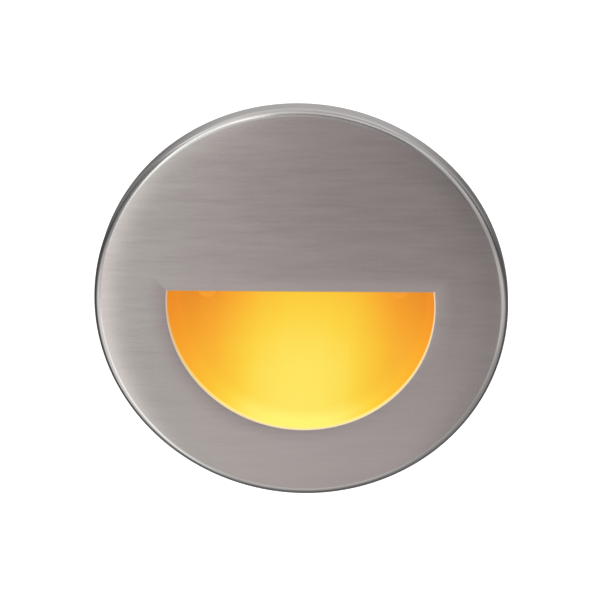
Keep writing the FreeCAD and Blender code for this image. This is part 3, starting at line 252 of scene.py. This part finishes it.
def brushed_steel():
    """Short level streaks of three sizes, with a soft drift of tone."""
    make = Surface("brushed_steel")
    fine, middling, broad = (
        make.math("MULTIPLY", make.noise(fineness, detail=1), share)
        for fineness, share in GRAIN_LAYERS
    )
    streaks = make.math("ADD", make.math("ADD", fine, middling), broad)
    drift = make.noise((18, 18, 26), detail=2)
    tone = make.mix(make.spread(streaks, 0, 1), linear(201, 188, 187), linear(215, 203, 201))
    tone = make.mix(make.spread(drift, 0, 0.3), tone, linear(200, 193, 187))
    tangent = make.add("ShaderNodeTangent", direction_type="UV_MAP", uv_map=GRAIN_MAP)
    make.relief(streaks, strength=0.045, depth=0.02 * MM)
    make.set(
        Base_Color=tone,
        Roughness=make.spread(streaks, 0.255, 0.305),
        Metallic=1.0,
        Anisotropic=0.9,
        Anisotropic_Rotation=0.25,
        Tangent=tangent.outputs["Tangent"],
    )
    return make.material


def polished_rim():
    """The turned edge and skirt: bright, with faint marks round them."""
    make = Surface("polished_rim")
    marks = make.noise((90, 2600, 90), detail=4)
    smear = make.noise(60, detail=3)
    tone = make.mix(make.spread(marks, 0, 1), linear(210, 206, 204), linear(224, 220, 218))
    make.relief(marks, strength=0.12, depth=0.01 * MM)
    make.set(Base_Color=tone, Roughness=make.spread(smear, 0.12, 0.22), Metallic=1.0)
    return make.material


# How quickly the painted scoop light on the cut edge turns pale towards the front, and
# where and how quickly painted shade darkens it as it turns to face down.
CUT_PAINTED_LIGHT_GAIN = 1.3
CUT_PAINTED_SHADE_AT = 0.55
CUT_PAINTED_SHADE_GAIN = 2.5


def cut_edge():
    """The opening's bare cut edge, with the scoop's light painted on as glow by how it faces."""
    make = Surface("cut_edge")
    marks = make.noise(700, detail=4)
    tone = make.mix(make.spread(marks, 0, 1), linear(120, 112, 100), linear(140, 132, 118))
    # Painted light: brighter on faces turned left and up, paler towards the front.
    facing = make.facing()
    leftward_painted_light = make.share(make.math("MULTIPLY", facing["X"], -1))
    upward_painted_light = make.math("MAXIMUM", facing["Z"], 0)
    painted_light_inside = make.mix(leftward_painted_light, linear(196, 150, 106), linear(240, 206, 166))
    painted_light_inside = make.mix(upward_painted_light, painted_light_inside, linear(255, 240, 128))
    painted_light_front = make.mix(leftward_painted_light, linear(206, 176, 148), linear(250, 226, 200))
    painted_light_front = make.mix(upward_painted_light, painted_light_front, linear(252, 236, 190))
    forward_painted_light = make.math("MULTIPLY", facing["Y"], -CUT_PAINTED_LIGHT_GAIN, clamp=True)
    glow = make.mix(forward_painted_light, painted_light_inside, painted_light_front)
    # Painted shade: a dark amber where the edge turns to face down.
    painted_light_share = make.math("ADD", facing["Z"], CUT_PAINTED_SHADE_AT)
    painted_light_share = make.math("MULTIPLY", painted_light_share, CUT_PAINTED_SHADE_GAIN, clamp=True)
    glow = make.mix(painted_light_share, linear(170, 118, 64), glow)
    make.relief(marks, strength=0.1, depth=0.01 * MM)
    make.set(
        Base_Color=tone,
        Roughness=make.spread(marks, 0.38, 0.5),
        Metallic=1.0,
        Emission_Color=glow,
        Emission_Strength=0.85,
    )
    return make.material


# The scoop's light is painted on as glow. How far the painted glow falls from yellow
# towards orange, where 1 is a full fall: by the distance aside from its middle and by the
# height over its foot, both in mm. The middle leans to the right with the height.
GLOW_FOOT = -36.0
GLOW_MIDDLE = -2.0
GLOW_LEAN = 0.105
GLOW_ASIDE = (
    (0, 0.0), (6, 0.01), (14, 0.09), (21, 0.27), (28, 0.46), (36, 0.59), (44, 0.63),
)
GLOW_UP = ((0, 0.0), (10, 0.01), (17, 0.05), (25, 0.15), (32, 0.26), (40, 0.36))
# How much less it falls on the floor, which faces up and gets painted light, and how much it
# ripples.
GLOW_PAINTED_ON_FLOOR = 0.19
GLOW_RIPPLE = 0.012
# Its colour by how far it has fallen.
GLOW_TONES = (
    (-0.19, (252, 248, 116)),
    (-0.10, (254, 240, 113)),
    (-0.04, (254, 234, 104)),
    (0.05, (253, 225, 90)),
    (0.11, (253, 219, 79)),
    (0.17, (252, 213, 67)),
    (0.25, (251, 205, 61)),
    (0.39, (250, 191, 54)),
    (0.49, (249, 180, 50)),
    (0.59, (247, 169, 47)),
    (0.72, (241, 156, 43)),
    (0.86, (234, 142, 41)),
    (0.98, (228, 134, 39)),
)


def painted_glow_scoop():
    """White reflector with its amber light painted on as glow: yellow low in the middle, orange
    at the corners.
    """
    make = Surface("painted_glow_scoop")
    place = make.axes(make.position())
    across = make.math("MULTIPLY", place["X"], 1 / MM)
    height = make.math("MULTIPLY", place["Z"], 1 / MM)
    height = make.math("SUBTRACT", height, GLOW_FOOT)
    middle = make.math("ADD", make.math("MULTIPLY", height, GLOW_LEAN), GLOW_MIDDLE)
    aside = make.math("ABSOLUTE", make.math("SUBTRACT", across, middle))
    fall = make.math("ADD", make.read(aside, GLOW_ASIDE), make.read(height, GLOW_UP))
    # Painted light: the floor, which faces up, is painted brighter.
    upward_painted_light = make.math("POWER", make.math("MAXIMUM", make.facing()["Z"], 0), 2)
    fall = make.math("SUBTRACT", fall, make.math("MULTIPLY", upward_painted_light, GLOW_PAINTED_ON_FLOOR))
    grain = make.noise(70, detail=2)
    fall = make.math("ADD", fall, make.spread(grain, -GLOW_RIPPLE, GLOW_RIPPLE))
    make.relief(grain, strength=0.05, depth=0.02 * MM)
    make.set(
        Base_Color=make.mix(make.spread(grain, 0, 1), linear(52, 36, 12), linear(60, 42, 15)),
        Roughness=make.spread(grain, 0.38, 0.5),
        Specular_IOR_Level=0.1,
        Emission_Color=make.read(fall, [(share, linear(*tone)) for share, tone in GLOW_TONES]),
        Emission_Strength=0.97,
    )
    return make.material


# The other surfaces: a darker and a lighter colour, the roughness and what differs from
# a plain moulded one. A surface that gives light has its glow's colour and strength: the
# scoop's screws have the scoop's light painted on as glow.
LOOKS = {
    "cast_body": dict(
        dark=(92, 93, 95), light=(112, 113, 116), rough=0.55,
        metallic=0.35, fineness=1400, relief=0.5,
    ),
    "black_rubber": dict(
        dark=(22, 22, 23), light=(36, 36, 37), rough=0.72, fineness=1600, relief=0.4
    ),
    "spring_steel": dict(
        dark=(168, 166, 160), light=(206, 204, 200), rough=0.24, metallic=1.0, fineness=700
    ),
    "zinc_screw": dict(dark=(176, 174, 168), light=(212, 210, 204), rough=0.3, metallic=1.0),
    # Painted light: the screws' heads glow with the scoop's amber.
    "painted_glow_screw": dict(
        dark=(52, 36, 14), light=(52, 36, 14), rough=0.5, glow=(243, 156, 46), strength=0.95
    ),
    "frosted_lens": dict(
        dark=(250, 220, 150), light=(250, 220, 150), rough=0.5,
        glow=(255, 196, 84), strength=1.2,
    ),
    "amber_emitter": dict(
        dark=(255, 190, 60), light=(255, 190, 60), rough=0.3,
        glow=(255, 176, 50), strength=3.0,
    ),
    "white_board": dict(dark=(214, 214, 208), light=(232, 232, 227), rough=0.4),
    "thermal_pad": dict(dark=(140, 150, 168), light=(158, 168, 184), rough=0.75),
    "connector_plastic": dict(dark=(208, 203, 188), light=(226, 222, 208), rough=0.45),
    "green_board": dict(dark=(16, 62, 34), light=(24, 84, 46), rough=0.35),
    "capacitor_sleeve": dict(dark=(20, 24, 46), light=(30, 36, 62), rough=0.3),
    "terminal_plastic": dict(dark=(26, 92, 58), light=(38, 112, 72), rough=0.4),
    "gland_plastic": dict(
        dark=(26, 26, 27), light=(42, 42, 44), rough=0.45, fineness=1500, relief=0.3
    ),
    "chip_black": dict(dark=(18, 18, 20), light=(32, 32, 34), rough=0.5),
    "red_lead": dict(dark=(150, 20, 16), light=(176, 30, 24), rough=0.35),
    "black_lead": dict(dark=(16, 16, 17), light=(30, 30, 31), rough=0.35),
}
# A wider drift runs over them all: its fineness, and how far it moves tone and gloss.
DRIFT_FINENESS = 40
DRIFT_OF_TONE = 0.3
DRIFT_OF_GLOSS = 0.06


def grained(
    name, dark, light, rough, metallic=0.0, fineness=900, relief=0.15, glow=None, strength=0.0
):
    """A surface with fine grain in its colour and relief, and a drift in tone and gloss."""
    make = Surface(name)
    grain = make.noise(fineness, detail=4)
    drift = make.noise(DRIFT_FINENESS, detail=3)
    tone = make.mix(make.spread(grain, 0, 1), linear(*dark), linear(*light))
    tone = make.mix(make.spread(drift, 0, DRIFT_OF_TONE), tone, linear(*dark))
    gloss = make.spread(drift, rough - DRIFT_OF_GLOSS, rough + DRIFT_OF_GLOSS)
    make.relief(grain, strength=relief, depth=0.03 * MM)
    make.set(Base_Color=tone, Roughness=gloss, Metallic=metallic)
    if glow is not None:
        make.set(Emission_Color=linear(*glow), Emission_Strength=strength)
    return make.material


MATERIALS = {name: grained(name, **look) for name, look in LOOKS.items()}
MATERIALS["reflector_white"] = painted_glow_scoop()
STEEL = brushed_steel()
RIM = polished_rim()
CUT = cut_edge()

# Nodes whose look isn't their slot's: the screws' heads stand in the scoop's light, painted on
# them as glow.
OWN_LOOKS = {"scoop_screws": "painted_glow_screw"}


def set_material(piece, material):
    piece.data.materials.clear()
    piece.data.materials.append(material)


def dress_frame():
    """Gives every CAD node soft edges and its material, apart from the replaced plate's."""
    slots = {row["node"]: row["material_slot"] for row in frame["record"]["subparts"]}
    for name, node in frame["nodes"].items():
        material = MATERIALS.get(OWN_LOOKS.get(name, slots[name]))
        if material is not None:
            set_material(node, material)
        node.data.shade_smooth()
        edges = node.modifiers.new("edges", "BEVEL")
        edges.width = NODE_BEVEL
        edges.segments = NODE_BEVEL_STEPS
        edges.limit_method = "ANGLE"
        edges.angle_limit = NODE_BEVEL_ANGLE
        edges.harden_normals = True


def new_object(name, data):
    item = bpy.data.objects.new(name, data)
    bpy.context.scene.collection.objects.link(item)
    return item


# ---- face plate ----


def around(radius, angle, depth):
    """A point round the plate's axis."""
    return Vector((radius * math.cos(angle), depth, radius * math.sin(angle)))


def corner_angle(grow):
    """How far over the level the opening's right corner is, when it is grown by a margin."""
    return math.asin((OPENING_CHORD + grow) / (OPENING_RADIUS + grow))


def arc_angles(corner):
    """Directions from the left corner, round the foot, to the right corner."""
    sweep = math.pi + 2 * corner
    return [math.pi - corner + sweep * step / ARC_STEPS for step in range(ARC_STEPS + 1)]


def opening_loop(grow, depth):
    """Points round the opening, grown by a margin: the arc, then the straight edge."""
    radius = OPENING_RADIUS + grow
    corner = corner_angle(grow)
    points = [around(radius, angle, depth) for angle in arc_angles(corner)]
    half = radius * math.cos(corner)
    for step in range(1, CHORD_STEPS):
        across = half - 2 * half * step / CHORD_STEPS
        points.append(Vector((across, depth, OPENING_CHORD + grow)))
    return points


def rim_angles():
    """Directions of the plate's edge that pair with the opening's points."""
    corner = corner_angle(OPENING_ROUND + LIP_WIDTH)
    angles = arc_angles(corner)
    for step in range(1, CHORD_STEPS):
        angles.append(corner + (math.pi - 2 * corner) * step / CHORD_STEPS)
    return angles


def rim_loop(radius, depth, notched=False):
    """Points round the plate, drawn in at its foot where the notch is."""
    points = []
    for angle in rim_angles():
        reach = radius
        in_notch = math.sin(angle) < 0 and abs(radius * math.cos(angle)) < NOTCH_WIDTH / 2
        if notched and in_notch:
            reach = (PLATE_RADIUS - NOTCH_DEPTH) / -math.sin(angle)
        points.append(around(reach, angle, depth))
    return points


def opening_loops():
    """Loops over the cut edge, from behind round to the front, and out over the lip."""
    loops = [(opening_loop(0, WEB_BACK), ON_CUT)]
    lean = math.atan(LIP_POWER * LIP_DROP / LIP_WIDTH)
    for step in range(OPENING_ROUND_STEPS):
        turn = (math.pi / 2 - lean) * step / OPENING_ROUND_STEPS
        grow = OPENING_ROUND * (1 - math.cos(turn))
        depth = PLATE_FRONT + LIP_DROP + OPENING_ROUND * (math.cos(lean) - math.sin(turn))
        loops.append((opening_loop(grow, depth), ON_CUT))
    lip_start = OPENING_ROUND * (1 - math.sin(lean))
    for step in range(LIP_STEPS + 1):
        share = step / LIP_STEPS
        depth = PLATE_FRONT + LIP_DROP * (1 - share) ** LIP_POWER
        loops.append((opening_loop(lip_start + LIP_WIDTH * share, depth), ON_FACE))
    return loops


def edge_loops():
    """Loops out over the face's roll, round the rim and back inside the skirt."""
    loops = []
    lean = math.atan(ROLL_POWER * ROLL_DROP / ROLL_WIDTH)
    start = math.atan(math.tan(lean) * ROUND_ACROSS / ROUND_DEEP)
    face_end = PLATE_RADIUS - ROUND_ACROSS * (1 - math.sin(start))
    for step in range(ROLL_STEPS):
        share = step / ROLL_STEPS
        depth = PLATE_FRONT + ROLL_DROP * share**ROLL_POWER
        loops.append((rim_loop(face_end - ROLL_WIDTH * (1 - share), depth), ON_FACE))
    for step in range(RIM_STEPS + 1):
        turn = start + (math.pi / 2 - start) * step / RIM_STEPS
        radius = PLATE_RADIUS - ROUND_ACROSS * (1 - math.sin(turn))
        depth = PLATE_FRONT + ROLL_DROP + ROUND_DEEP * (math.cos(start) - math.cos(turn))
        loops.append((rim_loop(radius, depth), ON_RIM))
    notch_front = PLATE_BACK - NOTCH_HEIGHT
    loops.append((rim_loop(PLATE_RADIUS, notch_front), ON_RIM))
    loops.append((rim_loop(PLATE_RADIUS, notch_front, notched=True), ON_RIM))
    loops.append((rim_loop(PLATE_RADIUS, PLATE_BACK, notched=True), ON_RIM))
    loops.append((rim_loop(SKIRT_INSIDE, PLATE_BACK), ON_RIM))
    loops.append((rim_loop(SKIRT_INSIDE, WEB_BACK), ON_RIM))
    return loops


def make_plate():
    """The face plate as one closed skin: each loop is joined to the next, the last to the first.

    A loop comes with the material slot of the strip that follows it.
    """
    mesh = bpy.data.meshes.new("plate_skin")
    plate = new_object("plate_skin", mesh)
    build = bmesh.new()
    loops = [
        ([build.verts.new(point) for point in points], slot)
        for points, slot in opening_loops() + edge_loops()
    ]
    count = len(loops[0][0])
    for index, (ring, slot) in enumerate(loops):
        following = loops[(index + 1) % len(loops)][0]
        for step in range(count):
            after = (step + 1) % count
            face = build.faces.new((ring[step], ring[after], following[after], following[step]))
            face.material_index = slot
            face.smooth = True
    bmesh.ops.remove_doubles(build, verts=build.verts, dist=MERGE_DISTANCE)
    bmesh.ops.recalc_face_normals(build, faces=build.faces)
    grain = build.loops.layers.uv.new(GRAIN_MAP)
    for face in build.faces:
        for loop in face.loops:
            loop[grain].uv = (loop.vert.co.x, loop.vert.co.z)
    build.normal_update()
    for edge in build.edges:
        if len(edge.link_faces) == 2:
            edge.smooth = edge.calc_face_angle() < SHARP_ANGLE
    build.to_mesh(mesh)
    build.free()
    for material in (STEEL, RIM, CUT):
        mesh.materials.append(material)
    normals = plate.modifiers.new("weighted", "WEIGHTED_NORMAL")
    normals.keep_sharp = True
    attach(plate, "plate")
    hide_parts("face_plate")


def make_key():
    """The rib inside the plate's foot that keeps it upright."""
    mesh = bpy.data.meshes.new("plate_key")
    key = new_object("plate_key", mesh)
    size = Matrix.Diagonal((KEY_WIDTH, KEY_LENGTH, KEY_HEIGHT, 1))
    centre = Vector((0, WEB_BACK + KEY_LENGTH / 2, -SKIRT_INSIDE + KEY_HEIGHT / 2))
    build = bmesh.new()
    bmesh.ops.create_cube(build, size=1, matrix=Matrix.Translation(centre) @ size)
    bmesh.ops.bevel(
        build,
        geom=build.edges[:],
        offset=KEY_BEVEL,
        segments=KEY_BEVEL_STEPS,
        affect="EDGES",
        profile=0.5,
    )
    build.to_mesh(mesh)
    build.free()
    mesh.shade_smooth()
    set_material(key, RIM)
    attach(key, "plate")


# ---- studio ----

# The camera, fitted to the plate's outline: angles in degrees, distances in metres.
CAMERA_AZIMUTH = 3.8
CAMERA_HEIGHT = 21.8
CAMERA_ROLL = -1.0
CAMERA_AWAY = 0.949
CAMERA_CLIP = 0.01
SENSOR_WIDTH_MM = 36
FOCAL_PIXELS = 3103
PICTURE_PIXELS = 600
AIM_ACROSS = -0.04 * MM
AIM_UP = 2.25 * MM


def make_camera():
    """The photograph's viewpoint: a little to the right, well above, far off."""
    azimuth, height, roll = map(math.radians, (CAMERA_AZIMUTH, CAMERA_HEIGHT, CAMERA_ROLL))
    back = Vector(
        (
            math.sin(azimuth) * math.cos(height),
            -math.cos(azimuth) * math.cos(height),
            math.sin(height),
        )
    )
    right = Vector((math.cos(azimuth), math.sin(azimuth), 0))
    up = back.cross(right)
    rolled_right = math.cos(roll) * right + math.sin(roll) * up
    rolled_up = -math.sin(roll) * right + math.cos(roll) * up
    data = bpy.data.cameras.new("camera")
    data.sensor_width = SENSOR_WIDTH_MM
    data.lens = FOCAL_PIXELS / PICTURE_PIXELS * data.sensor_width
    data.clip_start = CAMERA_CLIP
    camera = new_object("camera", data)
    turn = Matrix((rolled_right, rolled_up, back)).transposed().to_4x4()
    aim = Vector((0, PLATE_FRONT, 0)) + rolled_right * AIM_ACROSS + rolled_up * AIM_UP
    camera.matrix_world = Matrix.Translation(aim + back * CAMERA_AWAY) @ turn
    bpy.context.scene.camera = camera


# Brightness of the room by direction: each place runs from 0 (left, front or straight
# down) over 0.5 to 1 (right, back or straight up). The half behind the light shows in
# its rim, and the half ahead of it in its face.
BEHIND_UP = (
    (0.0, 0.15),
    (0.31, 0.15),
    (0.39, 0.17),
    (0.47, 0.19),
    (0.53, 0.33),
    (0.60, 0.52),
    (0.70, 0.55),
    (0.82, 0.72),
    (1.0, 0.75),
)
BEHIND_ACROSS = ((0.0, 0.5), (0.17, 0.6), (0.25, 1.0), (0.77, 1.0), (0.83, 0.75), (1.0, 0.7))
AHEAD_UP = (
    (0.0, 0.6),
    (0.10, 0.9),
    (0.20, 1.0),
    (0.33, 1.0),
    (0.40, 0.5),
    (0.45, 0.25),
    (0.65, 0.3),
    (0.74, 1.2),
    (1.0, 1.3),
)
AHEAD_ACROSS = (
    (0.0, 0.15),
    (0.08, 0.22),
    (0.12, 0.55),
    (0.18, 0.9),
    (0.22, 0.95),
    (0.29, 0.65),
    (0.40, 0.5),
    (0.60, 0.36),
    (0.72, 0.36),
    (0.80, 0.42),
    (1.0, 0.2),
)
FRONT_TO_BACK = ((0.0, 0.0), (0.22, 0.0), (0.36, 1.0), (1.0, 1.0))


def make_world():
    """White to the camera, and to everything else a room that differs by direction."""
    world = bpy.data.worlds.new("studio")
    bpy.context.scene.world = world
    make = Tree(world)
    direction = make.axes(make.add("ShaderNodeTexCoord").outputs["Generated"])
    across, depth, up = (make.share(direction[axis]) for axis in ("X", "Y", "Z"))
    behind = make.combine("MULTIPLY", make.ramp(up, BEHIND_UP), make.ramp(across, BEHIND_ACROSS))
    ahead = make.combine("MULTIPLY", make.ramp(up, AHEAD_UP), make.ramp(across, AHEAD_ACROSS))
    room = make.add("ShaderNodeBackground")
    make.feed(room.inputs["Color"], make.mix(make.ramp(depth, FRONT_TO_BACK), ahead, behind))
    white = make.add("ShaderNodeBackground")
    make.feed(white.inputs["Color"], (1, 1, 1))
    choice = make.add("ShaderNodeMixShader")
    is_seen, mirrored, seen = choice.inputs
    make.feed(is_seen, make.add("ShaderNodeLightPath").outputs["Is Camera Ray"])
    make.feed(mirrored, room.outputs["Background"])
    make.feed(seen, white.outputs["Background"])
    output = make.add("ShaderNodeOutputWorld")
    make.feed(output.inputs["Surface"], choice.outputs["Shader"])


FLOOR_SIZE = 6
FLOOR_HEIGHT = -0.45


def make_floor():
    """A plain pale floor well below the light."""
    bpy.ops.mesh.primitive_plane_add(size=FLOOR_SIZE, location=(0, 0, FLOOR_HEIGHT))
    floor = bpy.context.object
    floor.name = "floor"
    floor.visible_glossy = False
    make = Surface("pale_floor")
    drift = make.noise(2, detail=2)
    tone = make.mix(make.spread(drift, 0, 1), linear(246, 246, 246), linear(252, 252, 252))
    make.set(Base_Color=tone, Roughness=0.9, Emission_Color=tone, Emission_Strength=0.75)
    set_material(floor, make.material)


# Glowing cards this far ahead of the wall, which the plate mirrors. Their stops give a
# place along X (across) or Z (upwards and added), in metres, and a brightness there.
# Brightness across and upwards are multiplied, and the added one comes on top.
CARD_AWAY = 0.155
CARDS = {
    "face_card": dict(
        across=(
            (-0.120, 1.6),
            (-0.107, (1.36, 1.40, 1.38)),
            (-0.096, (1.07, 1.13, 1.10)),
            (-0.081, (0.82, 0.89, 0.86)),
            (-0.070, (0.65, 0.70, 0.68)),
            (-0.060, (0.58, 0.62, 0.60)),
            (-0.045, (0.54, 0.56, 0.55)),
            (-0.036, 0.50),
            (-0.018, 0.41),
            (0.0, 0.35),
            (0.026, 0.29),
            (0.045, 0.25),
            (0.060, 0.20),
            (0.095, 0.16),
        ),
        upwards=(
            (-0.062, 0.20),
            (-0.045, 0.22),
            (-0.032, 0.65),
            (-0.010, 0.79),
            (0.015, 1.0),
            (0.030, 1.22),
            (0.050, 1.34),
            (0.085, 1.34),
        ),
        added=((-0.062, 0.36), (-0.045, 0.33), (-0.032, 0.13), (-0.010, 0.01), (0.085, 0.0)),
    ),
    "low_card": dict(
        across=(
            (-0.160, 0.6),
            (-0.130, 1.0),
            (-0.120, 1.22),
            (-0.107, (1.24, 1.28, 1.26)),
            (-0.096, (0.91, 0.96, 0.94)),
            (-0.088, (0.77, 0.82, 0.80)),
            (-0.081, (0.66, 0.71, 0.69)),
            (-0.070, (0.55, 0.59, 0.57)),
            (-0.055, (0.57, 0.60, 0.58)),
            (-0.040, 0.60),
            (-0.018, 0.58),
            (0.0, 0.54),
            (0.017, 0.53),
            (0.035, 0.53),
            (0.060, 0.40),
            (0.088, 0.35),
            (0.095, 0.35),
        ),
        upwards=(
            (-0.262, 0.85),
            (-0.200, 1.05),
            (-0.160, 1.22),
            (-0.110, 1.26),
            (-0.080, 1.12),
            (-0.062, 1.03),
        ),
    ),
    "left_over_card": dict(
        across=((-0.120, 1.3), (-0.090, 1.5), (-0.054, 1.8), (-0.030, 1.2)),
        upwards=((0.085, 1.0), (0.105, 1.0), (0.130, 0.65), (0.190, 0.5)),
    ),
    "over_card": dict(
        across=((-0.030, 0.75), (0.030, 0.72), (0.200, 0.78)),
        upwards=((0.105, 1.0), (0.190, 1.0)),
    ),
    "side_card": dict(
        across=((0.095, 0.9), (0.200, 0.9)),
        upwards=(
            (-0.160, 0.3),
            (-0.100, 0.6),
            (-0.063, 0.85),
            (0.0, 0.5),
            (0.040, 0.7),
            (0.105, 0.8),
        ),
    ),
}


def make_card(name, across, upwards, added=None):
    """A glowing card that faces the plate and is neither seen nor casts a shadow."""
    mesh = bpy.data.meshes.new(name)
    left, right = across[0][0], across[-1][0]
    low, high = upwards[0][0], upwards[-1][0]
    corners = [(left, low), (left, high), (right, high), (right, low)]
    mesh.from_pydata([(x, -CARD_AWAY, z) for x, z in corners], [], [(0, 1, 2, 3)])
    card = new_object(name, mesh)
    material = bpy.data.materials.new(name)
    make = Tree(material)
    place = make.axes(make.position())
    tone = make.combine(
        "MULTIPLY", make.read(place["X"], across), make.read(place["Z"], upwards)
    )
    if added is not None:
        tone = make.combine("ADD", tone, make.read(place["Z"], added))
    glow = make.add("ShaderNodeEmission")
    make.feed(glow.inputs["Color"], tone)
    output = make.add("ShaderNodeOutputMaterial")
    make.feed(output.inputs["Surface"], glow.outputs["Emission"])
    mesh.materials.append(material)
    card.visible_camera = False
    card.visible_shadow = False


def make_lights():
    """The cards: for the plate's face, its foot and its bright edges."""
    for name, card in CARDS.items():
        make_card(name, **card)


make_plate()
make_key()
dress_frame()
make_camera()
make_world()
make_floor()
make_lights()
bpy.context.scene.view_settings.view_transform = "Standard"
bpy.context.scene.view_settings.look = "None"
